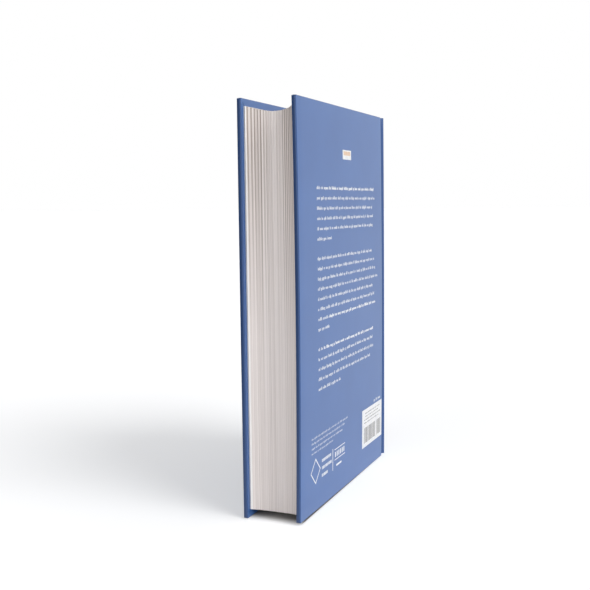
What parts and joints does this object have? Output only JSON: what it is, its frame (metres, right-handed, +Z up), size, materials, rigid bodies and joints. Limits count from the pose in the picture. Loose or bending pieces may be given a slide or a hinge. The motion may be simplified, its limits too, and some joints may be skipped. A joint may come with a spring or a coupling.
{
  "type": "hardback book",
  "caption": "Hardback book with a rounded spine, French grooves, a hollowed fore-edge and a blue paper-covered case whose two covers open.",
  "frame": {"origin": "centre of the footprint, on the surface that the tail stands on", "axes": "+Z up from tail to head, +X towards the fore-edge, +Y towards the back cover"},
  "size_m": [0.166, 0.0344, 0.235],
  "materials": {
    "page_paper": "matte",
    "endpaper": "matte",
    "cover_paper": "satin",
    "greyboard": "matte",
    "spine_card": "matte",
    "lining_paper": "matte",
    "mull_cloth": "matte",
    "band_cloth": "matte"
  },
  "bodies": {
    "book": {"text_block": "page_paper", "front_flyleaf": "endpaper", "back_flyleaf": "endpaper", "spine_mull": "mull_cloth", "spine_lining": "lining_paper", "head_band": "band_cloth", "tail_band": "band_cloth", "spine_stiffener": "spine_card", "spine_cover_paper": "cover_paper"},
    "front_cover": {"front_board": "greyboard", "front_cover_paper": "cover_paper", "front_mull_flap": "mull_cloth", "front_pastedown": "endpaper"},
    "back_cover": {"back_board": "greyboard", "back_cover_paper": "cover_paper", "back_mull_flap": "mull_cloth", "back_pastedown": "endpaper"}
  },
  "joints": [
    {"name": "front_joint", "type": "hinge", "parent": "book", "child": "front_cover", "pos_m": [-0.06924, -0.01775, 0.1175], "axis": [0, 0, -1], "range_deg": [0, 180]},
    {"name": "back_joint", "type": "hinge", "parent": "book", "child": "back_cover", "pos_m": [-0.06924, 0.01775, 0.1175], "axis": [0, 0, 1], "range_deg": [0, 180]}
  ]
}
